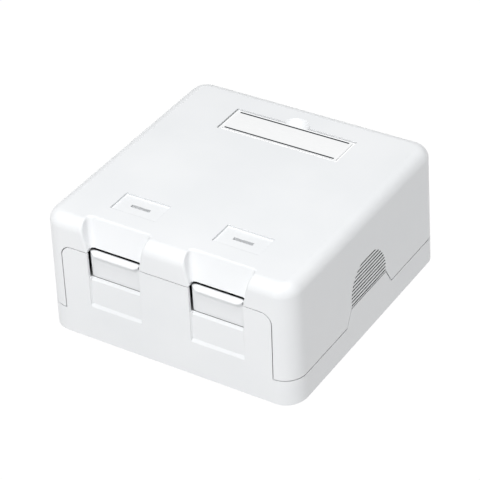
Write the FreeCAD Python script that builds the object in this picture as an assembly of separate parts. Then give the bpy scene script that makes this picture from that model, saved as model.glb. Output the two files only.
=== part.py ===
import FreeCAD, Part
import math
import os

# Two-port surface mount jack box: a moulded base and a screwed-down cover, with two spring-closed
# shutters in front of two snap-in jacks.
# Frame: millimetres, +Z up, +Y to the back, origin at the centre of the underside.

V = FreeCAD.Vector

# --- outer form -------------------------------------------------------------------------------
box_width = 67.0
box_depth = 68.5
box_height = 32.0
corner_radius = 5.5
top_edge_radius = 3.0
bottom_chamfer = 0.5
draft = 0.024               # lean of every outer wall, mm inwards per mm of height
wall = 2.0
floor_thickness = 2.0
split_height = 7.1          # where the cover meets the base
split_gap = 0.25
tongue_thickness = 0.9      # rim of the base that stands inside the cover
tongue_height = 1.5
fit_gap = 0.15              # clearance between parts that are pushed together
overcut = 1.0               # how far a cutter stands out of what it cuts
overlap = 1.0               # how far joined walls reach into each other
sink = 0.1                  # how far joined faces reach into each other
least_radius = 0.3          # of an inner corner

# --- front panel of the base ------------------------------------------------------------------
panel_half_width = 27.8
panel_drop = 7.65           # from the box's top to the panel's top edge
panel_corner_radius = 2.6
panel_thickness = 1.6       # at the foot, measured from the outer face
panel_gap = 0.2             # visible line between panel and cover
flange_overlap = 1.3        # flange of the panel behind the cover's front wall
flange_thickness = 1.1

# --- ports ------------------------------------------------------------------------------------
port_pitch = 27.3
port_width = 14.1
aperture_drop = 14.35       # from the box's top to the opening's lower edge
aperture_wall = 0.7         # thickness of the panel beside the opening
recess_height = 7.95        # dished thumb rest below the opening
recess_depth = 0.5
recess_side_slope = 0.4     # width of the dish's sloping sides
recess_ledge_slope = 0.8    # height of the dish's sloping lower edge
ridge_chamfer = 0.6         # at the opening's lower edge

# --- shutters ---------------------------------------------------------------------------------
shutter_thickness = 0.9
shutter_side_gap = 0.25
shutter_slide_gap = 0.12
shutter_wing = 1.25         # how far the guide wings reach past the port's side
lip_thickness = 0.75
lip_side_gap = 0.45
lip_front_radius = 1.8
lip_rise = 0.25             # from the panel's top edge to the lip's top
guide_side_gap = 0.3
guide_drop = 0.3            # from the opening's lower edge to the guides' top
stop_gap = 0.05
stop_height = 1.8
stop_inset = 0.3            # from the port's side to the stop
foot_width = 4.8
foot_depth = 3.6
foot_height = 3.5

# --- shutter springs --------------------------------------------------------------------------
spring_wire = 0.35
spring_diameter = 2.4       # outside
spring_turns = 3.0
spring_wire_sides = 4       # flats round the wire, which keep the coil light
spring_pocket_gap = 0.2
spring_pocket_depth = 2.8
spring_seat_depth = 1.0

# --- hoods over the ports ---------------------------------------------------------------------
hood_drop = 6.75            # from the box's top to the hood's lower edge
hood_bottom_depth = 1.85
hood_top_depth = 4.0
hood_top_half_width = 8.55
hood_corner_radius = 1.3
hood_edge_radius = 0.6
hood_wall = 1.0

# --- top of the cover -------------------------------------------------------------------------
icon_width = 12.2
icon_length = 6.8
icon_depth = 0.45
icon_setback = 12.95        # from the front face to the icon field's centre
icon_slot_length = 5.1
icon_slot_width = 0.9
label_width = 33.0
label_length = 9.7
label_depth = 1.6
label_setback = 14.05       # from the back face to the label's centre
label_floor_thickness = 1.7
label_wall = 1.5            # round the pocket
window_gap = 0.15
window_rim_thickness = 0.9
window_rim_width = 0.6
window_drop = 0.1           # below the box's top
window_pane_width = 30.0
window_pane_length = 7.0
window_groove_width = 0.3
window_groove_depth = 0.5
card_thickness = 0.25
card_gap = 0.4
card_clearance = 0.05       # under the window
notch_radius = 4.9          # of the ball that scoops the finger notch
notch_half_width = 3.5
notch_inset = 0.6           # of the ball's centre, within the pocket's rear edge

# --- side knock-outs and tabs -----------------------------------------------------------------
knockout_width = 16.0
knockout_bottom = 11.1
knockout_height = 9.9
louvre_pitch = 0.93
louvre_depth = 0.7
louvre_opening = 0.42       # height of a groove at the face
knockout_web = 0.8          # plastic left behind the louvres
knockout_border = 0.8       # full wall left round the thin web
tab_foot_width = 22.0
tab_thickness = 2.0
tab_corner_radius = 0.5

# --- cover screw and its boss -----------------------------------------------------------------
screw_diameter = 3.0
screw_head_diameter = 5.6
screw_head_height = 2.0
screw_head_gap = 0.4        # round and above the head
screw_length = 12.0
screw_seat_thickness = 1.6
screw_slot_length = 3.4
screw_slot_width = 0.8
screw_slot_depth = 0.9
boss_wall = 2.0
sleeve_wall = 1.4           # of the cover, round the screw's head
boss_gap = 0.2
thread_gap = 0.02           # between the screw's plain shank and its hole in the boss

# --- snap hooks and mounting holes --------------------------------------------------------------
hook_width = 6.0
hook_thickness = 1.5
hook_spacing = 36.0
hook_barb = 0.6
hook_height = 6.4
hook_lead = 1.3             # height of the hook's sloping nose
catch_height = 1.5
catch_depth = 0.8
catch_margin = 0.5          # at each end, past the hook
catch_gap = 0.1             # under the hook's nose
mount_hole_diameter = 4.2
mount_spacing = 30.0
mount_centre_y = -5.5
tie_bridge_width = 8.0
tie_bridge_length = 3.0
tie_bridge_height = 5.5
tie_bridge_centre_y = 13.0
tie_hole_width = 4.6
tie_hole_height = 3.0

# --- jacks ------------------------------------------------------------------------------------
jack_width = 14.5
jack_height = 15.9
jack_housing_length = 18.0
jack_front_gap = 0.2        # from the shutter's foot to the jack's face
jack_slide_gap = 0.2
plug_width = 11.9
plug_height = 6.8
plug_depth = 13.4
plug_bottom = 5.9           # above the jack's underside
plug_back_wall = 1.2
plug_gap = 0.15             # from the lowered shutter's lip to the plug
latch_width = 6.4
latch_height = 2.0
latch_depth = 7.0
contact_room_height = 1.5
contact_room_margin = 0.7
contact_room_front = 2.0
contact_count = 8
contact_pitch = 1.02
contact_width = 0.46
contact_thickness = 0.3
contact_rail_gap = 0.6      # from the room's ceiling to the wires
contact_bend_y = 2.9
contact_bend_radius = 0.5
contact_tip_y = 9.5
contact_tip_height = 4.6    # above the plug cavity's floor
rib_width = 1.3
rib_proud = 0.9
rib_place = 5.6             # from the jack's face to the rib
rib_drop = 2.0              # from the jack's top to the rib's top
rib_gap = 0.1
rib_end_gap = 0.3
board_thickness = 1.0
board_margin = 0.9
board_gap = 0.1
block_gap = 0.15
block_length = 11.0
block_slots = 4
block_slot_pitch = 3.2
block_slot_width = 1.0
block_slot_depth = 4.0
block_slot_length = 10.0
blade_thickness = 0.4
blade_width = 2.3
blade_height = 5.2
blade_slit = 0.35
blade_slit_depth = 3.0
blade_recess = 0.5          # from the block's mouth to the blade
blade_pin = 0.6
blade_gap = 0.05
cap_thickness = 1.0
cap_reach = 8.0
cap_gap = 0.2
cap_hole_width = 7.0
cap_hole_height = 5.0
cradle_grip = 5.8           # how far up the jack the cradle's walls reach
cradle_wall = 2.3
cradle_length = 4.5         # of the walls behind the jack's rib
press_rib_place = 8.0       # from the jack's face to the cover's rib above it
press_rib_width = 10.0
rear_rib_width = 12.5       # under the wire block
channel_length = 12.0       # room behind the panel for a shutter
support_thickness = 1.4

# --- worked out from the sizes above ------------------------------------------------------------
port_xs = {"left": -port_pitch / 2, "right": port_pitch / 2}
front_y = -box_depth / 2
base_top = split_height - split_gap / 2
cover_bottom = split_height + split_gap / 2
roof = box_height - wall
panel_top = box_height - panel_drop
aperture_bottom = box_height - aperture_drop
recess_bottom = aperture_bottom - recess_height
hood_bottom = box_height - hood_drop
icon_centre_y = front_y + icon_setback
label_centre_y = box_depth / 2 - label_setback
panel_back_y = front_y + panel_thickness
shutter_front_y = panel_back_y + shutter_slide_gap
shutter_back_y = shutter_front_y + shutter_thickness
shutter_top = panel_top + lip_rise
shutter_travel = shutter_top - lip_thickness - stop_gap - aperture_bottom
shutter_bottom = floor_thickness + stop_gap + shutter_travel
guide_top = aperture_bottom - guide_drop
shutter_wing_top = guide_top - stop_height - stop_gap
wing_half_width = port_width / 2 + shutter_wing
guide_half_width = wing_half_width + guide_side_gap
jack_front_y = shutter_front_y + foot_depth + jack_front_gap
jack_bottom = aperture_bottom + lip_thickness + plug_gap - plug_bottom
board_front = plug_depth + plug_back_wall
plug_top = plug_bottom + plug_height
blade_y = jack_housing_length + block_length / 2
foot_top = shutter_bottom + foot_height
spring_centre_y = shutter_front_y + foot_depth / 2
spring_bottom = floor_thickness - spring_seat_depth
spring_top = shutter_bottom + spring_pocket_depth
spring_pocket_size = spring_diameter + 2 * spring_pocket_gap
label_floor = box_height - label_depth
root = floor_thickness / 2  # where what stands on the floor starts, inside it
screw_seat = label_floor - screw_head_height - screw_head_gap
sleeve_bottom = screw_seat - screw_seat_thickness
reach = box_width           # longer than any cut needs


def lean(z):
    """How far the outer faces have moved inwards at height z."""
    return draft * z


def block(x0, x1, y0, y1, z0, z1):
    return Part.makeBox(x1 - x0, y1 - y0, z1 - z0, V(x0, y0, z0))


def centred_block(centre_x, centre_y, width, length, z0, z1):
    return block(centre_x - width / 2, centre_x + width / 2,
                 centre_y - length / 2, centre_y + length / 2, z0, z1)


def post(x, y, z0, z1, radius):
    return Part.makeCylinder(radius, z1 - z0, V(x, y, z0))


def rounded_outline(corners, radii):
    """Closed flat wire through the corners, each rounded to its own radius (0 keeps it sharp)."""
    count = len(corners)
    starts = []
    ends = []
    edges = []
    for i in range(count):
        corner = corners[i]
        back = (corners[i - 1] - corner).normalize()
        ahead = (corners[(i + 1) % count] - corner).normalize()
        if radii[i] == 0:
            starts.append(corner)
            ends.append(corner)
            continue
        half_angle = back.getAngle(ahead) / 2
        bisector = (back + ahead).normalize()
        centre = corner + bisector * (radii[i] / math.sin(half_angle))
        setback = radii[i] / math.tan(half_angle)
        starts.append(corner + back * setback)
        ends.append(corner + ahead * setback)
        edges.append(Part.Arc(starts[i], centre - bisector * radii[i], ends[i]).toShape())
    for i in range(count):
        following = starts[(i + 1) % count]
        if (following - ends[i]).Length > 1e-6:
            edges.append(Part.LineSegment(ends[i], following).toShape())
    return Part.Wire(Part.__sortEdges__(edges))


def prism(corners, radii, direction):
    return Part.Face(rounded_outline(corners, radii)).extrude(direction)


def tapered_slab(low, high, z0, z1):
    """Slab along Y whose left and right sides lean; low and high are its X ranges at z0 and z1."""
    corners = [V(low[0], -reach, z0), V(low[1], -reach, z0),
               V(high[1], -reach, z1), V(high[0], -reach, z1)]
    return prism(corners, [0] * 4, V(0, 2 * reach, 0))


def turned(shape):
    """A slab that lies along Y, turned to lie along X."""
    shape.rotate(V(0, 0, 0), V(0, 0, 1), 90)
    return shape


def drafted_block(z0, z1, inset):
    """The space inside the box's walls between two heights, the inset away from their faces."""
    low_x = box_width / 2 - lean(z0) - inset
    high_x = box_width / 2 - lean(z1) - inset
    low_y = box_depth / 2 - lean(z0) - inset
    high_y = box_depth / 2 - lean(z1) - inset
    across = tapered_slab((-low_x, low_x), (-high_x, high_x), z0, z1)
    solid = across.common(turned(tapered_slab((-low_y, low_y), (-high_y, high_y), z0, z1)))
    upright = [edge for edge in solid.Edges if edge.BoundBox.ZLength > (z1 - z0) / 2]
    return solid.makeFillet(max(corner_radius - inset, least_radius), upright)


def drafted_form():
    """The box's outer faces, with a cone at each upright corner."""
    half_x = box_width / 2
    half_y = box_depth / 2
    shift = lean(box_height)
    centre_x = half_x - corner_radius
    centre_y = half_y - corner_radius
    across = tapered_slab((-half_x, half_x), (shift - half_x, half_x - shift), 0, box_height)
    along = turned(tapered_slab((-half_y, half_y), (shift - half_y, half_y - shift), 0, box_height))
    pieces = [along.common(block(-centre_x, centre_x, -reach, reach, 0, box_height))]
    for x in (-centre_x, centre_x):
        for y in (-centre_y, centre_y):
            pieces.append(Part.makeCone(corner_radius, corner_radius - shift, box_height,
                                        V(x, y, 0)))
    across = across.common(block(-reach, reach, -centre_y, centre_y, 0, box_height))
    return across.multiFuse(pieces).removeSplitter()


def edges_at_height(shape, z):
    return [edge for edge in shape.Edges
            if abs(edge.BoundBox.ZMin - z) < 1e-4 and abs(edge.BoundBox.ZMax - z) < 1e-4]


def outer_form():
    """The whole box as one solid, rounded at its top edge and chamfered at its foot."""
    form = drafted_form()
    form = form.makeFillet(top_edge_radius, edges_at_height(form, box_height))
    return form.makeChamfer(bottom_chamfer, edges_at_height(form, 0))


def front_profile(half_width, top, radius, y0, y1):
    """Slab with two rounded top corners, seen from the front."""
    corners = [V(-half_width, y0, -overcut), V(half_width, y0, -overcut),
               V(half_width, y0, top), V(-half_width, y0, top)]
    return prism(corners, [0, 0, radius, radius], V(0, y1 - y0, 0))


def tab_profile(gap):
    """Tapered slab across the box that shapes the tabs, or with a gap the notches for them."""
    half_foot = tab_foot_width / 2 + gap
    half_head = knockout_width / 2 + gap
    low = split_height - overlap
    corners = [V(-reach, -half_foot, low), V(-reach, half_foot, low),
               V(-reach, half_head, knockout_bottom + gap),
               V(-reach, -half_head, knockout_bottom + gap)]
    return prism(corners, [0, 0, tab_corner_radius, tab_corner_radius], V(2 * reach, 0, 0))


def arch(shrink=0.0):
    """Half-round slab across the box over both knock-outs."""
    radius = knockout_width / 2 - shrink
    spring_line = knockout_bottom + knockout_height - knockout_width / 2
    foot = knockout_bottom + split_gap + shrink
    left = V(-reach, -radius, spring_line)
    right = V(-reach, radius, spring_line)
    crown = V(-reach, 0, spring_line + radius)
    edges = [Part.Arc(left, crown, right).toShape(),
             Part.LineSegment(right, V(-reach, radius, foot)).toShape(),
             Part.LineSegment(V(-reach, radius, foot), V(-reach, -radius, foot)).toShape(),
             Part.LineSegment(V(-reach, -radius, foot), left).toShape()]
    return Part.Face(Part.Wire(edges)).extrude(V(2 * reach, 0, 0))


def louvres():
    """Horizontal V grooves, cut into both side faces within the arch."""
    grooves = []
    count = int((knockout_height - split_gap) / louvre_pitch)
    for i in range(count):
        centre = knockout_bottom + split_gap + louvre_pitch * (i + 0.5)
        face_x = box_width / 2 - lean(centre)
        for side in (-1, 1):
            corners = [V(side * (face_x + louvre_depth), -reach, centre - louvre_opening),
                       V(side * (face_x + louvre_depth), -reach, centre + louvre_opening),
                       V(side * (face_x - louvre_depth), -reach, centre)]
            grooves.append(prism(corners, [0, 0, 0], V(0, 2 * reach, 0)))
    return Part.makeCompound(grooves).common(arch())


def hood_wedge(port_x, grow, z0, z1):
    """Wedge over a port: its back leans from the port up to the crease in the top face."""
    bottom_back = front_y + lean(hood_bottom) + hood_bottom_depth
    top_back = front_y + lean(box_height) + hood_top_depth
    half_widths = []
    backs = []
    for z in (z0, z1):
        share = (z - hood_bottom) / (box_height - hood_bottom)
        half_widths.append((1 - share) * port_width / 2 + share * hood_top_half_width + grow)
        backs.append((1 - share) * bottom_back + share * top_back + grow)
    sides = tapered_slab((port_x - half_widths[0], port_x + half_widths[0]),
                         (port_x - half_widths[1], port_x + half_widths[1]), z0, z1)
    return sides.common(turned(tapered_slab((-reach, backs[0]), (-reach, backs[1]), z0, z1)))


def hooded(form):
    """The outer form with a scooped pocket over each port, its edges softened."""
    upper = form.common(block(-reach, reach, -reach, reach, panel_top, box_height))
    for port_x in port_xs.values():
        wedge = hood_wedge(port_x, 0.0, panel_top - overcut, box_height + overcut)
        rear_edges = [edge for edge in wedge.Edges
                      if edge.BoundBox.ZLength > hood_drop and edge.BoundBox.YMin > -box_depth]
        wedge = wedge.makeFillet(hood_corner_radius, rear_edges)
        scooped = upper.cut(wedge)
        rim = [edge for edge in scooped.Edges
               if abs(edge.CenterOfMass.x - port_x) < hood_top_half_width + overcut
               and edge.BoundBox.ZMax > panel_top + hood_edge_radius
               and lies_on(edge, wedge) and lies_on(edge, upper)]
        upper = scooped.makeFillet(hood_edge_radius, rim)
    lower = form.common(block(-reach, reach, -reach, reach, 0, panel_top))
    return upper.fuse(lower)


def lies_on(edge, solid):
    """True if both ends and the middle of an edge lie on the solid's surface."""
    skin = solid.Shells[0]
    places = [edge.valueAt(edge.FirstParameter + (edge.LastParameter - edge.FirstParameter) * share)
              for share in (0.05, 0.5, 0.95)]
    return all(skin.distToShape(Part.Vertex(place))[0] < 1e-4 for place in places)


def make_cover(form):
    shell = hooded(form).common(block(-reach, reach, -reach, reach, cover_bottom, box_height))

    # solid plastic behind the hoods, under the label, round the screw and over the jacks
    added = []
    for port_x in port_xs.values():
        added.append(hood_wedge(port_x, hood_wall, hood_bottom, box_height))
        added.append(centred_block(port_x, jack_front_y + press_rib_place, press_rib_width,
                                   support_thickness, jack_bottom + jack_height + jack_slide_gap,
                                   box_height))
    added.append(centred_block(0, label_centre_y, label_width + 2 * label_wall,
                               label_length + 2 * label_wall,
                               label_floor - label_floor_thickness, box_height))
    head_hole_radius = screw_head_diameter / 2 + screw_head_gap
    added.append(post(0, label_centre_y, sleeve_bottom, box_height,
                      head_hole_radius + sleeve_wall))
    back_inner_y = box_depth / 2 - lean(split_height) - wall
    catch_top = base_top + hook_height - hook_lead - catch_gap
    for side in (-1, 1):
        added.append(centred_block(side * hook_spacing / 2, back_inner_y,
                                   hook_width + 2 * catch_margin, 2 * catch_depth,
                                   catch_top - catch_height, catch_top))
    shell = shell.cut(drafted_block(0, roof, wall).cut(added))

    # front cut-out for the panel, notches for the side tabs
    cuts = [front_profile(panel_half_width + panel_gap, panel_top + panel_gap,
                          panel_corner_radius + panel_gap, -reach, panel_back_y + overcut),
            tab_profile(panel_gap)]
    for port_x in port_xs.values():
        cuts.append(centred_block(port_x, front_y, port_width, 2 * (wall + overcut),
                                  panel_top, hood_bottom))
        cuts.append(centred_block(port_x, icon_centre_y, icon_width, icon_length,
                                  box_height - icon_depth, box_height + overcut))
        cuts.append(centred_block(port_x, icon_centre_y, icon_slot_length, icon_slot_width,
                                  roof - overcut, box_height))
    cuts.append(centred_block(0, label_centre_y, label_width, label_length, label_floor,
                              box_height + overcut))
    cuts.append(post(0, label_centre_y, screw_seat, box_height, head_hole_radius))
    cuts.append(post(0, label_centre_y, 0, box_height, screw_diameter / 2 + boss_gap))
    notch_lift = math.sqrt(notch_radius ** 2 - notch_half_width ** 2)
    notch_y = label_centre_y + label_length / 2 - notch_inset
    cuts.append(Part.makeSphere(notch_radius, V(0, notch_y, box_height + notch_lift)))
    cuts.append(louvres())
    thin = arch(knockout_border).common(drafted_block(0, box_height, louvre_depth + knockout_web))
    cuts.append(thin.cut(drafted_block(0, box_height, wall + overcut)))
    return shell.cut(cuts)


def make_base(form):
    outer = form.common(block(-reach, reach, -reach, reach, 0, base_top))
    inset = wall + fit_gap + tongue_thickness
    hollow = drafted_block(floor_thickness, box_height, inset)
    tongue = drafted_block(base_top - overlap, base_top + tongue_height, wall + fit_gap)
    panel = front_profile(panel_half_width, panel_top, panel_corner_radius, -reach, panel_back_y)
    panel = panel.common(form)
    flange = front_profile(panel_half_width + flange_overlap, panel_top + flange_overlap,
                           panel_corner_radius, panel_back_y, panel_back_y + flange_thickness)
    flange = flange.common(drafted_block(floor_thickness, box_height, wall + fit_gap))
    tabs = tab_profile(0.0).common(form).cut(drafted_block(0, box_height, tab_thickness))
    body = outer.fuse(tongue).cut(hollow)
    body = body.multiFuse([panel, flange, tabs])

    # the shutters' channels and the ports
    cuts = []
    for port_x in port_xs.values():
        cuts.append(block(port_x - guide_half_width, port_x + guide_half_width, panel_back_y,
                          panel_back_y + channel_length, floor_thickness, box_height))
        cuts.append(centred_block(port_x, front_y, port_width, channel_length, aperture_bottom,
                                  box_height))
        relief_y = front_y + lean(aperture_bottom) + aperture_wall
        cuts.append(block(port_x - wing_half_width, port_x + wing_half_width, relief_y,
                          panel_back_y + overcut, aperture_bottom, box_height))
        cuts.append(thumb_rest(port_x))
    body = body.cut(cuts)

    added = []
    for port_x in port_xs.values():
        added += cradle(port_x)
    boss_radius = screw_diameter / 2 + boss_wall
    added.append(post(0, label_centre_y, root, sleeve_bottom - boss_gap, boss_radius))
    for side in (-1, 1):
        added.append(snap_hook(side))
        added.append(tie_bridge(side * port_pitch / 2))
    body = body.multiFuse(added)

    holes = [post(0, label_centre_y, sleeve_bottom - screw_length, roof,
                  screw_diameter / 2 + thread_gap)]
    for port_x in port_xs.values():
        holes.append(centred_block(port_x, spring_centre_y, spring_pocket_size,
                                   spring_pocket_size, spring_bottom,
                                   floor_thickness + overcut))
    for end in (-1, 1):
        y = mount_centre_y + end * mount_spacing / 2
        holes.append(post(0, y, -overcut, floor_thickness + overcut, mount_hole_diameter / 2))
    return body.cut(holes)


def thumb_rest(port_x):
    """Cut for the dish below a port, with sloping sides, a sloping ledge and a chamfered ridge."""
    low = recess_bottom + recess_ledge_slope
    high = aperture_bottom - ridge_chamfer
    back = recess_depth + ridge_chamfer
    side_view = [(-overcut, recess_bottom), (0, recess_bottom), (recess_depth, low),
                 (recess_depth, high), (back, aperture_bottom),
                 (back, aperture_bottom + overcut), (-overcut, aperture_bottom + overcut)]
    corners = [V(-reach, front_y + lean(z) + depth, z) for depth, z in side_view]
    across = prism(corners, [0] * len(corners), V(2 * reach, 0, 0))
    face_y = front_y + lean(aperture_bottom)
    half = port_width / 2
    plan = [(half, -2 * overcut), (half, 0), (half - recess_side_slope, recess_depth),
            (half - recess_side_slope, 2 * overcut)]
    corners = [V(port_x + x, face_y + depth, 0) for x, depth in plan]
    corners += [V(port_x - x, face_y + depth, 0) for x, depth in reversed(plan)]
    return across.common(prism(corners, [0] * len(corners), V(0, 0, box_height)))


def cradle(port_x):
    """Walls that guide the shutter and hold the jack, with the ribs that it stands on."""
    pieces = []
    inner = jack_width / 2 + jack_slide_gap
    outer = inner + cradle_wall
    rib_y = jack_front_y + rib_place
    wall_end_y = rib_y + cradle_length
    guide_y = shutter_back_y + shutter_slide_gap
    slot_half = rib_width / 2 + rib_gap
    slot_x = inner + rib_proud + rib_end_gap
    for side in (-1, 1):
        guide = [V(inner, guide_y, root), V(guide_half_width, guide_y, root),
                 V(guide_half_width, panel_back_y - sink, root),
                 V(outer, panel_back_y - sink, root), V(outer, jack_front_y + overlap, root),
                 V(inner, jack_front_y + overlap, root)]
        grip = [V(inner, jack_front_y, root), V(outer, jack_front_y, root),
                V(outer, wall_end_y, root), V(inner, wall_end_y, root),
                V(inner, rib_y + slot_half, root), V(slot_x, rib_y + slot_half, root),
                V(slot_x, rib_y - slot_half, root), V(inner, rib_y - slot_half, root)]
        for outline, top in ((guide, guide_top), (grip, jack_bottom + cradle_grip)):
            corners = [V(port_x + side * p.x, p.y, p.z) for p in outline]
            pieces.append(prism(corners, [0] * len(corners), V(0, 0, top - root)))
        stop_half = (outer - port_width / 2 - stop_inset) / 2
        pieces.append(block(port_x + side * (outer - stop_half) - stop_half,
                            port_x + side * (outer - stop_half) + stop_half,
                            panel_back_y - sink, guide_y + sink,
                            guide_top - stop_height, guide_top))
    for y in (rib_y, wall_end_y - support_thickness / 2):
        pieces.append(centred_block(port_x, y, 2 * inner + overlap, support_thickness, root,
                                    jack_bottom))
    rear_y = jack_front_y + jack_housing_length + block_length / 2
    pieces.append(centred_block(port_x, rear_y, rear_rib_width, support_thickness, root,
                                jack_bottom - cap_thickness - cap_gap))
    return pieces


def snap_hook(side):
    """Springy hook behind the back wall, which holds the cover's catch down."""
    x = side * hook_spacing / 2
    wall_y = box_depth / 2 - lean(split_height) - wall
    back_y = wall_y - catch_depth - fit_gap
    top = base_top + hook_height
    barb_z = top - hook_lead
    side_view = [(0, root), (0, barb_z), (hook_barb, barb_z), (0, top),
                 (-hook_thickness, top), (-hook_thickness, root)]
    corners = [V(x - hook_width / 2, back_y + y, z) for y, z in side_view]
    return prism(corners, [0] * len(corners), V(hook_width, 0, 0))


def tie_bridge(x):
    """Loop on the floor for a cable tie."""
    top = floor_thickness + tie_bridge_height
    bridge = centred_block(x, tie_bridge_centre_y, tie_bridge_width, tie_bridge_length, root, top)
    tunnel = centred_block(x, tie_bridge_centre_y, tie_hole_width, 2 * tie_bridge_length,
                           floor_thickness, floor_thickness + tie_hole_height)
    return bridge.cut(tunnel)


def make_shutter(port_x):
    half_width = port_width / 2 - shutter_side_gap
    plate = block(port_x - half_width, port_x + half_width, shutter_front_y, shutter_back_y,
                  shutter_bottom, shutter_top)
    wings = block(port_x - wing_half_width, port_x + wing_half_width, shutter_front_y,
                  shutter_back_y, shutter_bottom, shutter_wing_top)
    foot = block(port_x - foot_width / 2, port_x + foot_width / 2, shutter_front_y,
                 shutter_front_y + foot_depth, shutter_bottom, foot_top)
    lip_half = port_width / 2 - lip_side_gap
    lip_front = front_y + lean(shutter_top)
    lip_bottom = shutter_top - lip_thickness
    corners = [V(port_x - lip_half, lip_front, lip_bottom),
               V(port_x + lip_half, lip_front, lip_bottom),
               V(port_x + lip_half, shutter_front_y + sink, lip_bottom),
               V(port_x - lip_half, shutter_front_y + sink, lip_bottom)]
    lip = prism(corners, [lip_front_radius, lip_front_radius, 0, 0], V(0, 0, lip_thickness))
    pocket = centred_block(port_x, spring_centre_y, spring_pocket_size, spring_pocket_size,
                           shutter_bottom - overcut, spring_top)
    return plate.multiFuse([wings, foot, lip]).cut(pocket)


def make_spring(port_x):
    """Coil spring between the floor's seat and the pocket in the shutter's foot."""
    coil_radius = (spring_diameter - spring_wire) / 2
    length = spring_top - spring_bottom - spring_wire
    helix = Part.makeHelix(length / spring_turns, length, coil_radius)
    corners = []
    for i in range(spring_wire_sides + 1):
        angle = 2 * math.pi * (i + 0.5) / spring_wire_sides
        corners.append(V(coil_radius + spring_wire / 2 * math.cos(angle), 0,
                         spring_wire / 2 * math.sin(angle)))
    coil = Part.Wire(helix.Edges).makePipeShell([Part.makePolygon(corners)], True, True)
    coil.translate(V(port_x, spring_centre_y, spring_bottom + spring_wire / 2))
    return coil


def make_label_window():
    """Clear window: a thin rim and a raised pane, with a groove along each long side."""
    width = label_width - 2 * window_gap
    length = label_length - 2 * window_gap
    bottom = label_floor + card_thickness + card_clearance
    rim = centred_block(0, label_centre_y, width, length, bottom, bottom + window_rim_thickness)
    top = box_height - window_drop
    pane = centred_block(0, label_centre_y, width - 2 * window_rim_width,
                         length - 2 * window_rim_width, bottom, top)
    window = rim.fuse(pane)
    for side in (-1, 1):
        y = label_centre_y + side * (window_pane_length + window_groove_width) / 2
        window = window.cut(centred_block(0, y, window_pane_width, window_groove_width,
                                          top - window_groove_depth, top + overcut))
    return window


def make_label_card():
    return centred_block(0, label_centre_y, label_width - 2 * card_gap,
                         label_length - 2 * card_gap, label_floor, label_floor + card_thickness)


def make_cover_screw():
    head_top = screw_seat + screw_head_height
    shank = post(0, label_centre_y, screw_seat - screw_length, screw_seat, screw_diameter / 2)
    screw = shank.fuse(post(0, label_centre_y, screw_seat, head_top, screw_head_diameter / 2))
    for size in ((screw_slot_length, screw_slot_width), (screw_slot_width, screw_slot_length)):
        screw = screw.cut(centred_block(0, label_centre_y, size[0], size[1],
                                        head_top - screw_slot_depth, head_top + overcut))
    return screw


def bent_strip(points, thickness, width):
    """Flat wire of the given thickness, bent along points in the YZ plane, centred on X = 0."""
    half = thickness / 2
    left = []
    right = []
    for i, point in enumerate(points):
        into = point - points[i - 1] if i > 0 else points[1] - point
        out = points[i + 1] - point if i + 1 < len(points) else into
        into = V(into.x, into.y, into.z).normalize()
        out = V(out.x, out.y, out.z).normalize()
        tangent = (into + out).normalize()
        side = V(0, -tangent.z, tangent.y)
        stretch = half / max(math.cos(into.getAngle(tangent)), 0.3)
        left.append(point + side * stretch)
        right.append(point - side * stretch)
    outline = left + right[::-1]
    outline = [V(-width / 2, p.y, p.z) for p in outline]
    return prism(outline, [0] * len(outline), V(width, 0, 0))


def make_jack_housing():
    """Moulded socket. Its own frame has the face at Y = 0 and the underside at Z = 0."""
    half = jack_width / 2
    housing = block(-half, half, 0, jack_housing_length, 0, jack_height)
    ribs = centred_block(0, rib_place, 2 * (half + rib_proud), rib_width, 0,
                         jack_height - rib_drop)
    housing = housing.fuse(ribs)
    contact_room = contact_count * contact_pitch / 2 + contact_room_margin
    cuts = [block(-plug_width / 2, plug_width / 2, -overcut, plug_depth, plug_bottom, plug_top),
            block(-latch_width / 2, latch_width / 2, -overcut, latch_depth,
                  plug_bottom - latch_height, plug_bottom + overlap),
            block(-contact_room, contact_room, contact_room_front, board_front + overlap,
                  plug_top - overlap, plug_top + contact_room_height),
            block(-half + board_margin, half - board_margin, board_front,
                  jack_housing_length + overcut, board_margin, jack_height - board_margin)]
    return housing.cut(cuts)


def make_jack_contacts():
    rail_z = plug_top + contact_room_height - contact_rail_gap
    bend = contact_bend_radius
    path = [V(0, board_front, rail_z), V(0, contact_bend_y + bend, rail_z),
            V(0, contact_bend_y, rail_z - bend), V(0, contact_bend_y + bend, rail_z - 2 * bend),
            V(0, contact_tip_y, plug_bottom + contact_tip_height)]
    wires = []
    for i in range(contact_count):
        wire = bent_strip(path, contact_thickness, contact_width)
        wire.translate(V((i - (contact_count - 1) / 2) * contact_pitch, 0, 0))
        wires.append(wire)
    return Part.makeCompound(wires)


def make_jack_board():
    half = jack_width / 2 - board_margin - board_gap
    low = board_margin + board_gap
    return block(-half, half, board_front, board_front + board_thickness, low,
                 jack_height - low)


def block_slot_places():
    """Centre X, and which way the slot opens, for each wire."""
    places = []
    for opens in (-1, 1):
        for i in range(block_slots):
            places.append(((i - (block_slots - 1) / 2) * block_slot_pitch, opens))
    return places


def slot_span(opens, inner_depth, outer_extra):
    """Z range of a slot that opens at the top or bottom of the wire block."""
    if opens > 0:
        return jack_height - board_margin - inner_depth, jack_height + outer_extra
    return -outer_extra, board_margin + inner_depth


def pin_height(opens):
    """Height of the pins that join the blades of one row to the board."""
    z0, z1 = slot_span(opens, blade_height, 0)
    return z1 - blade_pin if opens < 0 else z0 + blade_pin


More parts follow.
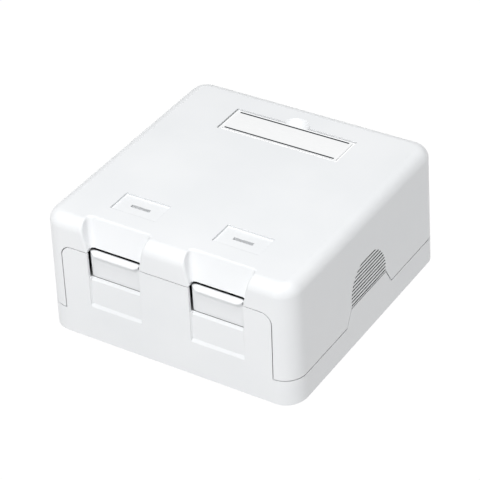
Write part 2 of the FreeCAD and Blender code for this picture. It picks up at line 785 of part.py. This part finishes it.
def make_wire_block():
    start = board_front + board_thickness
    end = jack_housing_length + block_length
    low = board_margin + block_gap
    body = block(low - jack_width / 2, jack_width / 2 - low, start, end, low, jack_height - low)
    cuts = []
    for x, opens in block_slot_places():
        z0, z1 = slot_span(opens, block_slot_depth, overcut)
        cuts.append(block(x - block_slot_width / 2, x + block_slot_width / 2,
                          end - block_slot_length, end + overcut, z0, z1))
    row_half = ((block_slots - 1) * block_slot_pitch + blade_width) / 2 + blade_gap
    for opens in (-1, 1):
        z0, z1 = slot_span(opens, blade_height, overcut)
        cuts.append(block(-row_half, row_half, blade_y - blade_thickness / 2 - blade_gap,
                          blade_y + blade_thickness / 2 + blade_gap, z0, z1))
        pin_z = pin_height(opens)
        cuts.append(block(-row_half, row_half, start - overcut, blade_y,
                          pin_z - blade_pin / 2 - blade_gap, pin_z + blade_pin / 2 + blade_gap))
    return body.cut(cuts)


def make_wire_blades():
    start = board_front + board_thickness
    blades = []
    for x, opens in block_slot_places():
        z0, z1 = slot_span(opens, blade_height, 0)
        slit0, slit1 = slot_span(opens, blade_slit_depth, overcut)
        if opens > 0:
            z1 = jack_height - board_margin - blade_recess
        else:
            z0 = board_margin + blade_recess
        blade = block(x - blade_width / 2, x + blade_width / 2, blade_y - blade_thickness / 2,
                      blade_y + blade_thickness / 2, z0, z1)
        blade = blade.cut(block(x - blade_slit / 2, x + blade_slit / 2, blade_y - overcut,
                                blade_y + overcut,
                                slit0, slit1))
        pin_z = pin_height(opens)
        pin = block(x - blade_pin / 2, x + blade_pin / 2, start, blade_y,
                    pin_z - blade_pin / 2, pin_z + blade_pin / 2)
        blades.append(blade.fuse(pin))
    return Part.makeCompound(blades)


def make_wire_cap():
    """Cap that slides over the block from behind and presses the wires into the blades."""
    end = jack_housing_length + block_length
    half = jack_width / 2
    low = board_margin + block_gap - cap_gap
    high = jack_height - low
    outer = block(-half, half, end - cap_reach, end + cap_gap + cap_thickness,
                  low - cap_thickness, high + cap_thickness)
    inner = block(-half - overcut, half + overcut, end - cap_reach - overcut, end + cap_gap,
                  low, high)
    hole = block(-cap_hole_width / 2, cap_hole_width / 2, end, end + 2 * cap_thickness,
                 (low + high - cap_hole_height) / 2, (low + high + cap_hole_height) / 2)
    return outer.cut([inner, hole])


def save(name, shape):
    shape.exportStep(os.path.join("parts", name + ".step"))


def main():
    os.makedirs("parts", exist_ok=True)
    form = outer_form()
    save("base", make_base(form))
    save("cover", make_cover(form))
    save("label_window", make_label_window())
    save("label_card", make_label_card())
    save("cover_screw", make_cover_screw())
    for side, port_x in port_xs.items():
        save("shutter_" + side, make_shutter(port_x))
        save("shutter_spring_" + side, make_spring(port_x))
        jack_pieces = {"jack_housing": make_jack_housing(), "jack_contacts": make_jack_contacts(),
                       "jack_board": make_jack_board(), "wire_block": make_wire_block(),
                       "wire_blades": make_wire_blades(), "wire_cap": make_wire_cap()}
        for name, piece in jack_pieces.items():
            piece.translate(V(port_x, jack_front_y, jack_bottom))
            save(name + "_" + side, piece)


main()
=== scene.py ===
import math

import bmesh
import bpy
from mathutils import Matrix, Vector


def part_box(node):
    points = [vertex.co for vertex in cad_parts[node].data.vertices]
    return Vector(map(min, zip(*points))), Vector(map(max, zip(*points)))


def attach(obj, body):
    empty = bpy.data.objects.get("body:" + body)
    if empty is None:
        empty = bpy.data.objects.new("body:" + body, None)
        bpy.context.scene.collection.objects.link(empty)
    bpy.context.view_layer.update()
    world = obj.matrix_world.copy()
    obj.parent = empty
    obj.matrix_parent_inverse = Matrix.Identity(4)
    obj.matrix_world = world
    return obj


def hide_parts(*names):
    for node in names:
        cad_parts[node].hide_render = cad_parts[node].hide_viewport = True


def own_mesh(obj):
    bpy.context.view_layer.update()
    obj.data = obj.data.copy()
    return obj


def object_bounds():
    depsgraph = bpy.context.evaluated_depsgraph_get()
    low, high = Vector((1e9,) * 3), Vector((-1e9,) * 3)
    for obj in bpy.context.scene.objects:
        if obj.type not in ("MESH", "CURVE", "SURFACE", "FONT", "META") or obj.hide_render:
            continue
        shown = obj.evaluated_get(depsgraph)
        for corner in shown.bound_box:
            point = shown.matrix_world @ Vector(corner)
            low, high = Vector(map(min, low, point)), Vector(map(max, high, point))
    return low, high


# Two-port surface mount jack box in satin white plastic. Metres, +Z up, ports towards -Y.

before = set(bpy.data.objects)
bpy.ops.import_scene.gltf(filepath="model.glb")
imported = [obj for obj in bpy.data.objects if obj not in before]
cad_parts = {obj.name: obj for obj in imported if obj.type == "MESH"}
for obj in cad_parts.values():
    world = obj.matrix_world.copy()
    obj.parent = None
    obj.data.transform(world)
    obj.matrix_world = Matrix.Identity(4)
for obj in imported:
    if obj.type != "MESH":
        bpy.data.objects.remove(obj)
cad_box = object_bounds()

SIDES = ("left", "right")
MM = 0.001

# where the louvred knock-outs lie in both side faces
LOUVRE_HALF_WIDTH = 8.0 * MM
LOUVRE_BOTTOM = 10.95 * MM
LOUVRE_INNER = 32.0 * MM

# the label window's pane and the two grooves beside it
PANE_HALF_WIDTH = 15 * MM
PANE_HALF_LENGTH = 3.5 * MM
GROOVE_WIDTH = 0.3 * MM
# the groove's dark line is painted shade
GROOVE_SPREAD = 0.09 * MM   # how far the groove's dark line reaches past it on each side

# the shutters' finger lip
LIP_THICKNESS = 0.75 * MM
ROUNDING_REACH = 0.8 * MM   # how far back the lip's edges are rounded
ROUNDING_RADIUS = 0.3 * MM
ROUNDING_STEPS = 5

# the shutters' springs
SPRING_WIRE = 0.35 * MM
SPRING_TURNS = 7
STEPS_PER_TURN = 24
WIRE_SIDES = 10

# limits for comparing places in a mesh
MERGE_DISTANCE = 1e-6
LEVEL_TOLERANCE = 1e-5

# shade in gaps: how far to look, openness that counts as shut and as open, tone when shut
GAP_SHADE = (0.9 * MM, 0.04, 0.3, 0.08)
# the shutters take a longer reach, which paints a contact shadow under the finger lip
SHUTTER_SHADE = (1.3 * MM, 0.45, 0.75, 0.2)
# in the louvres the painted shade sets in at higher openness, for dark lines between the slats
LOUVRE_SHUT = 0.45
LOUVRE_OPEN = 0.75
OCCLUSION_SAMPLES = 16

WHITE_TONES = ((0.80, 0.815, 0.83), (0.83, 0.842, 0.855))
WHITE_ROUGHNESS = 0.32
WHITE_EDGE_RADIUS = 0.14 * MM
INNER_EDGE_RADIUS = 0.1 * MM
EDGE_SAMPLES = 6
# tone of the painted shade in the label window's two grooves
GROOVE_SHADE_TONE = (0.06, 0.07, 0.08)
PANE_ALPHA = 0.93
FRAME_ALPHA = 0.95


# --- materials ----------------------------------------------------------------------------------

def new_material(name, color, roughness, specular=0.5, metallic=0.0):
    """A Principled material, and its node tree's parts for more detail."""
    material = bpy.data.materials.new(name)
    material.use_nodes = True
    nodes = material.node_tree.nodes
    shader = nodes["Principled BSDF"]
    shader.inputs["Base Color"].default_value = (*color, 1)
    shader.inputs["Roughness"].default_value = roughness
    shader.inputs["Specular IOR Level"].default_value = specular
    shader.inputs["Metallic"].default_value = metallic
    return material, nodes, material.node_tree.links, shader


def object_noise(nodes, links, scale, detail=3.0, stretch=(1, 1, 1)):
    """Noise in object coordinates; scale is in features per metre."""
    place = nodes.new("ShaderNodeTexCoord")
    mapping = nodes.new("ShaderNodeMapping")
    mapping.inputs["Scale"].default_value = stretch
    noise = nodes.new("ShaderNodeTexNoise")
    noise.inputs["Scale"].default_value = scale
    noise.inputs["Detail"].default_value = detail
    links.new(place.outputs["Object"], mapping.inputs["Vector"])
    links.new(mapping.outputs["Vector"], noise.inputs["Vector"])
    return noise


def vary(nodes, links, source, target, low, high):
    """Spreads a 0..1 value over low..high and feeds it to a socket."""
    spread = nodes.new("ShaderNodeMapRange")
    spread.inputs["From Min"].default_value = 0.3
    spread.inputs["From Max"].default_value = 0.7
    spread.inputs["To Min"].default_value = low
    spread.inputs["To Max"].default_value = high
    links.new(source, spread.inputs["Value"])
    links.new(spread.outputs["Result"], target)


def add_color_drift(nodes, links, shader, noise, dark, light):
    """Lets the base colour wander between two tones."""
    ramp = nodes.new("ShaderNodeValToRGB")
    ramp.color_ramp.elements[0].position = 0.35
    ramp.color_ramp.elements[0].color = (*dark, 1)
    ramp.color_ramp.elements[1].position = 0.65
    ramp.color_ramp.elements[1].color = (*light, 1)
    links.new(noise.outputs["Fac"], ramp.inputs["Fac"])
    links.new(ramp.outputs["Color"], shader.inputs["Base Color"])


def add_bump(nodes, links, shader, noise, distance, edge_radius=0.0):
    """Fine surface relief, over edges that the Bevel node softens to edge_radius."""
    bump = nodes.new("ShaderNodeBump")
    bump.inputs["Distance"].default_value = distance
    bump.inputs["Strength"].default_value = 1.0
    links.new(noise.outputs["Fac"], bump.inputs["Height"])
    if edge_radius:
        bevel = nodes.new("ShaderNodeBevel")
        bevel.samples = EDGE_SAMPLES
        bevel.inputs["Radius"].default_value = edge_radius
        links.new(bevel.outputs["Normal"], bump.inputs["Normal"])
    links.new(bump.outputs["Normal"], shader.inputs["Normal"])


def math_node(nodes, links, operation, first, second):
    """A Math node; each input is a socket or a number."""
    node = nodes.new("ShaderNodeMath")
    node.operation = operation
    for socket, value in zip(node.inputs, (first, second)):
        if isinstance(value, (int, float)):
            socket.default_value = value
        else:
            links.new(value, socket)
    return node.outputs["Value"]


def object_place(nodes, links):
    """Sockets X, Y and Z of a point in object coordinates."""
    place = nodes.new("ShaderNodeTexCoord")
    parts = nodes.new("ShaderNodeSeparateXYZ")
    links.new(place.outputs["Object"], parts.inputs["Vector"])
    return parts.outputs


def louvre_zone(nodes, links):
    """1 within the louvred knock-outs, and 0 elsewhere."""
    place = object_place(nodes, links)
    across = math_node(nodes, links, "ABSOLUTE", place["Y"], 0)
    outward = math_node(nodes, links, "ABSOLUTE", place["X"], 0)
    beside = math_node(nodes, links, "LESS_THAN", across, LOUVRE_HALF_WIDTH)
    above = math_node(nodes, links, "GREATER_THAN", place["Z"], LOUVRE_BOTTOM)
    outer = math_node(nodes, links, "GREATER_THAN", outward, LOUVRE_INNER)
    inside = math_node(nodes, links, "MULTIPLY", beside, above)
    return math_node(nodes, links, "MULTIPLY", inside, outer)


def paint_gap_shade(nodes, links, shader, shade, louvred):
    """Paints shade into the base colour in narrow gaps, by ambient occlusion, and more readily in
    the louvres.
    """
    reach, shut, open_to, shut_tone = shade
    occlusion = nodes.new("ShaderNodeAmbientOcclusion")
    occlusion.samples = OCCLUSION_SAMPLES
    occlusion.inputs["Distance"].default_value = reach
    spread = nodes.new("ShaderNodeMapRange")
    spread.interpolation_type = "SMOOTHSTEP"
    spread.inputs["From Min"].default_value = shut
    spread.inputs["From Max"].default_value = open_to
    spread.inputs["To Min"].default_value = shut_tone
    spread.inputs["To Max"].default_value = 1.0
    links.new(occlusion.outputs["AO"], spread.inputs["Value"])
    if louvred:
        zone = louvre_zone(nodes, links)
        for socket, usual, within in (("From Min", shut, LOUVRE_SHUT),
                                      ("From Max", open_to, LOUVRE_OPEN)):
            shift = math_node(nodes, links, "MULTIPLY", zone, within - usual)
            limit = math_node(nodes, links, "ADD", shift, usual)
            links.new(limit, spread.inputs[socket])
    dim = nodes.new("ShaderNodeMix")
    dim.data_type = "RGBA"
    dim.blend_type = "MULTIPLY"
    dim.inputs["Factor"].default_value = 1.0
    source = shader.inputs["Base Color"].links[0].from_socket
    links.new(source, dim.inputs["A"])
    links.new(spread.outputs["Result"], dim.inputs["B"])
    links.new(dim.outputs["Result"], shader.inputs["Base Color"])


def moulded_plastic(name, dark, light, roughness, grain=9000, relief=1.5e-6, edge_radius=0.0,
                    louvred=False, shade=GAP_SHADE):
    """Moulded plastic: slow drift in tone and gloss, a fine tool grain, and painted shade in its
    gaps.
    """
    material, nodes, links, shader = new_material(name, light, roughness)
    drift = object_noise(nodes, links, 45)
    add_color_drift(nodes, links, shader, drift, dark, light)
    vary(nodes, links, drift.outputs["Fac"], shader.inputs["Roughness"],
         roughness - 0.04, roughness + 0.04)
    grain_noise = object_noise(nodes, links, grain, 2.0)
    add_bump(nodes, links, shader, grain_noise, relief, edge_radius)
    paint_gap_shade(nodes, links, shader, shade, louvred)
    return material


def label_window():
    """One frosted moulding, a little clearer over the card, with painted shade as dark lines in
    its two grooves.
    """
    material, nodes, links, shader = new_material("clear_window", (0.93, 0.94, 0.95), 0.08)
    scuffs = object_noise(nodes, links, 700, 3.0, (1, 6, 1))
    vary(nodes, links, scuffs.outputs["Fac"], shader.inputs["Roughness"], 0.06, 0.16)
    add_color_drift(nodes, links, shader, scuffs, (0.92, 0.925, 0.93), (0.95, 0.955, 0.96))
    add_bump(nodes, links, shader, scuffs, 2e-6)

    low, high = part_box("label_window")
    place = object_place(nodes, links)
    across = math_node(nodes, links, "ABSOLUTE", place["X"], 0)
    along = math_node(nodes, links, "SUBTRACT", place["Y"], (low.y + high.y) / 2)
    along = math_node(nodes, links, "ABSOLUTE", along, 0)
    past_end = math_node(nodes, links, "GREATER_THAN", across, PANE_HALF_WIDTH)
    past_side = math_node(nodes, links, "GREATER_THAN", along,
                          PANE_HALF_LENGTH - GROOVE_SPREAD)
    frame_part = math_node(nodes, links, "MAXIMUM", past_end, past_side)
    past_groove = math_node(nodes, links, "GREATER_THAN", along,
                            PANE_HALF_LENGTH + GROOVE_WIDTH + GROOVE_SPREAD)
    outer_frame = math_node(nodes, links, "MAXIMUM", past_end, past_groove)
    # painted shade: a dark line along each groove
    groove_shade = math_node(nodes, links, "SUBTRACT", frame_part, outer_frame)
    alpha = nodes.new("ShaderNodeMapRange")
    alpha.inputs["To Min"].default_value = PANE_ALPHA
    alpha.inputs["To Max"].default_value = FRAME_ALPHA
    links.new(frame_part, alpha.inputs["Value"])
    links.new(alpha.outputs["Result"], shader.inputs["Alpha"])
    tone = nodes.new("ShaderNodeMix")
    tone.data_type = "RGBA"
    links.new(groove_shade, tone.inputs["Factor"])
    links.new(shader.inputs["Base Color"].links[0].from_socket, tone.inputs["A"])
    tone.inputs["B"].default_value = (*GROOVE_SHADE_TONE, 1)
    links.new(tone.outputs["Result"], shader.inputs["Base Color"])
    return material


def white_card():
    """Smooth card with faint fibres."""
    material, nodes, links, shader = new_material("label_card_paper", (0.95, 0.95, 0.95), 0.7)
    fibres = object_noise(nodes, links, 3500, 5.0, (1, 4, 1))
    add_color_drift(nodes, links, shader, fibres, (0.93, 0.935, 0.94), (0.96, 0.965, 0.97))
    add_bump(nodes, links, shader, fibres, 6e-6)
    return material


def drawn_metal(name, color, roughness, stretch):
    """Metal with fine lines along the direction that isn't stretched."""
    material, nodes, links, shader = new_material(name, color, roughness, metallic=1.0)
    lines = object_noise(nodes, links, 1500, 2.0, stretch)
    vary(nodes, links, lines.outputs["Fac"], shader.inputs["Roughness"],
         roughness * 0.7, roughness * 1.4)
    add_color_drift(nodes, links, shader, lines, tuple(c * 0.85 for c in color), color)
    add_bump(nodes, links, shader, lines, 2e-6)
    return material


def circuit_board():
    """Green solder mask over a faint glass weave."""
    material, nodes, links, shader = new_material("board_mask", (0.02, 0.2, 0.09), 0.35)
    weave = nodes.new("ShaderNodeTexWave")
    weave.inputs["Scale"].default_value = 900
    weave.inputs["Distortion"].default_value = 1.5
    place = nodes.new("ShaderNodeTexCoord")
    links.new(place.outputs["Object"], weave.inputs["Vector"])
    add_color_drift(nodes, links, shader, weave, (0.012, 0.14, 0.06), (0.025, 0.22, 0.1))
    add_bump(nodes, links, shader, weave, 4e-6)
    return material


def paint(names, material):
    """Gives CAD nodes their material."""
    for name in names:
        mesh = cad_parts[name].data
        mesh.materials.clear()
        mesh.materials.append(material)


def both(*names):
    """Names of the nodes of both ports."""
    return [f"{name}_{side}" for name in names for side in SIDES]


white = moulded_plastic("white_abs", *WHITE_TONES, WHITE_ROUGHNESS,
                        edge_radius=WHITE_EDGE_RADIUS, louvred=True)
# the same white with stronger painted shade: a painted shadow under the shutters' lips
shutter_white_shaded = moulded_plastic("shutter_abs", *WHITE_TONES, WHITE_ROUGHNESS,
                                edge_radius=WHITE_EDGE_RADIUS, shade=SHUTTER_SHADE)
black = moulded_plastic("black_moulding", (0.012, 0.012, 0.013), (0.02, 0.02, 0.022), 0.42,
                        grain=5000, relief=4e-6, edge_radius=INNER_EDGE_RADIUS)
grey = moulded_plastic("pale_grey_moulding", (0.5, 0.51, 0.52), (0.56, 0.57, 0.58), 0.45,
                       edge_radius=INNER_EDGE_RADIUS)
contact_gold = drawn_metal("gold_plating", (0.83, 0.62, 0.27), 0.2, (1, 0.05, 0.3))
zinc = drawn_metal("zinc_plating", (0.62, 0.63, 0.65), 0.28, (1, 1, 0.2))

paint(["base", "cover"], white)
paint(both("shutter"), shutter_white_shaded)
paint(both("jack_housing", "wire_block"), black)
paint(both("wire_cap"), grey)
paint(both("jack_contacts", "wire_blades"), contact_gold)
paint(both("jack_board"), circuit_board())
paint(["cover_screw"] + both("shutter_spring"), zinc)
paint(["label_window"], label_window())
paint(["label_card"], white_card())


# --- modelled pieces ----------------------------------------------------------------------------

def new_piece(name, mesh, material, node, body):
    """Adds a modelled piece that stands for a CAD node and moves with its body."""
    mesh.materials.clear()
    mesh.materials.append(material)
    piece = bpy.data.objects.new(name, mesh)
    bpy.context.collection.objects.link(piece)
    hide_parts(node)
    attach(piece, body)
    return piece


def smooth_by_angle(mesh, degrees):
    """Smooth faces, with edges sharper than the angle kept crisp."""
    form = bmesh.new()
    form.from_mesh(mesh)
    for face in form.faces:
        face.smooth = True
    for edge in form.edges:
        edge.smooth = edge.calc_face_angle(0) < math.radians(degrees)
    form.to_mesh(mesh)
    form.free()


def is_level(edge, heights):
    """Whether an edge lies level at one of the heights."""
    return any(all(abs(v.co.z - height) < LEVEL_TOLERANCE for v in edge.verts)
               for height in heights)


def make_shutter(side):
    """The shutter with its finger lip's edges rounded, as far back as ROUNDING_REACH."""
    node = f"shutter_{side}"
    low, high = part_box(node)
    form = bmesh.new()
    form.from_mesh(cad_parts[node].data)
    bmesh.ops.remove_doubles(form, verts=form.verts, dist=MERGE_DISTANCE)
    bmesh.ops.dissolve_limit(form, angle_limit=math.radians(1), verts=form.verts,
                             edges=form.edges)
    lip_heights = (high.z, high.z - LIP_THICKNESS)
    rounding_end = low.y + ROUNDING_REACH
    crossing = [edge for edge in form.edges
                if min(v.co.y for v in edge.verts) < rounding_end
                and max(v.co.y for v in edge.verts) > rounding_end
                and is_level(edge, lip_heights)]
    for edge in crossing:
        first, second = edge.verts
        share = (rounding_end - first.co.y) / (second.co.y - first.co.y)
        bmesh.utils.edge_split(edge, first, share)
    rim = [edge for edge in form.edges
           if all(v.co.y < rounding_end + MERGE_DISTANCE for v in edge.verts)
           and is_level(edge, lip_heights)]
    bmesh.ops.bevel(form, geom=rim, offset=ROUNDING_RADIUS, segments=ROUNDING_STEPS,
                    profile=0.5, affect="EDGES")
    mesh = bpy.data.meshes.new(f"shutter_mesh_{side}")
    form.to_mesh(mesh)
    form.free()
    smooth_by_angle(mesh, 35)
    new_piece(f"shutter_with_lip_{side}", mesh, shutter_white_shaded, node, node)


def make_spring(side):
    """Round-wire coil with a closed turn at each end."""
    node = f"shutter_spring_{side}"
    low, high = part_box(node)
    wire_radius = SPRING_WIRE / 2
    coil_radius = (high.x - low.x) / 2 - wire_radius
    centre = (low + high) / 2
    count = SPRING_TURNS * STEPS_PER_TURN
    end_share = 1 / SPRING_TURNS
    closed_rise = 2 * wire_radius
    open_rise = high.z - low.z - 2 * wire_radius - 2 * closed_rise
    mesh = bpy.data.meshes.new(f"spring_mesh_{side}")
    form = bmesh.new()
    rings = []
    for i in range(count + 1):
        share = i / count
        middle = min(max((share - end_share) / (1 - 2 * end_share), 0), 1)
        rise = (min(share, end_share) + max(share - 1 + end_share, 0)) / end_share * closed_rise
        z = low.z + wire_radius + rise + middle * open_rise
        turn = 2 * math.pi * i / STEPS_PER_TURN
        out = Vector((math.cos(turn), math.sin(turn), 0))
        ring = []
        for k in range(WIRE_SIDES):
            angle = 2 * math.pi * k / WIRE_SIDES
            ring.append(form.verts.new(Vector((centre.x, centre.y, z))
                                       + out * (coil_radius + wire_radius * math.cos(angle))
                                       + Vector((0, 0, wire_radius * math.sin(angle)))))
        rings.append(ring)
    for first, second in zip(rings, rings[1:]):
        for k in range(WIRE_SIDES):
            following = (k + 1) % WIRE_SIDES
            form.faces.new((first[k], second[k], second[following], first[following]))
    form.faces.new(rings[0])
    form.faces.new(rings[-1][::-1])
    bmesh.ops.recalc_face_normals(form, faces=form.faces)
    form.to_mesh(mesh)
    form.free()
    smooth_by_angle(mesh, 60)
    spring = new_piece(f"coil_spring_{side}", mesh, zinc, node, "housing")
    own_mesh(spring)


for side in SIDES:
    make_shutter(side)
    make_spring(side)


# --- stage, light and camera --------------------------------------------------------------------

def make_floor():
    """White floor that glows evenly, so that it shows no shadow, as in a cut-out photograph."""
    low, _ = cad_box
    bpy.ops.mesh.primitive_plane_add(size=6.0, location=(0, 0, low.z))
    floor = bpy.context.object
    floor.name = "floor"
    material, nodes, links, shader = new_material("floor_white", (0.02, 0.02, 0.02), 0.9, 0.0)
    shader.inputs["Emission Color"].default_value = (1, 1, 1, 1)
    shader.inputs["Emission Strength"].default_value = 1.0
    floor.data.materials.append(material)


def around(azimuth, elevation):
    """Unit vector towards a viewer; azimuth 0 stands in front of the ports, 90 at the right."""
    a, e = math.radians(azimuth), math.radians(elevation)
    return Vector((math.sin(a) * math.cos(e), -math.cos(a) * math.cos(e), math.sin(e)))


def area_light(name, azimuth, elevation, distance, size, power):
    """Soft square light that looks at the object's centre."""
    data = bpy.data.lights.new(name, "AREA")
    data.size = size
    data.energy = power
    light = bpy.data.objects.new(name, data)
    bpy.context.collection.objects.link(light)
    light.location = around(azimuth, elevation) * distance
    light.rotation_euler = (-light.location).to_track_quat("-Z", "Y").to_euler()


def make_lights():
    """Two soft lights in front and above, over a faint even world."""
    world = bpy.data.worlds.new("studio")
    world.use_nodes = True
    world.node_tree.nodes["Background"].inputs["Color"].default_value = (1, 1, 1, 1)
    world.node_tree.nodes["Background"].inputs["Strength"].default_value = 0.1
    bpy.context.scene.world = world
    area_light("overhead", 35, 80, 0.9, 0.6, 6.0)
    area_light("key", 5, 49, 0.9, 0.2, 3.9)


def make_camera():
    """Camera at the photograph's angle, as fitted to the box's edges."""
    azimuth, elevation, roll, distance = 33.41, 35.02, 3.18, 0.4791
    aim_right, aim_up = -0.00115, -0.00153
    low, high = cad_box
    centre = (low + high) / 2
    back = around(azimuth, elevation)
    right = Vector((math.cos(math.radians(azimuth)), math.sin(math.radians(azimuth)), 0))
    target = centre + right * aim_right + back.cross(right) * aim_up
    data = bpy.data.cameras.new("camera")
    data.sensor_width = 36
    data.lens = 153.17
    data.clip_start, data.clip_end = 0.01, 20
    camera = bpy.data.objects.new("camera", data)
    bpy.context.collection.objects.link(camera)
    camera.location = centre + back * distance
    aim = (target - camera.location).to_track_quat("-Z", "Y").to_matrix().to_4x4()
    camera.matrix_world = (Matrix.Translation(camera.location) @ aim
                           @ Matrix.Rotation(math.radians(-roll), 4, "Z"))
    bpy.context.scene.camera = camera
    bpy.context.scene.view_settings.view_transform = "Standard"


make_floor()
make_lights()
make_camera()
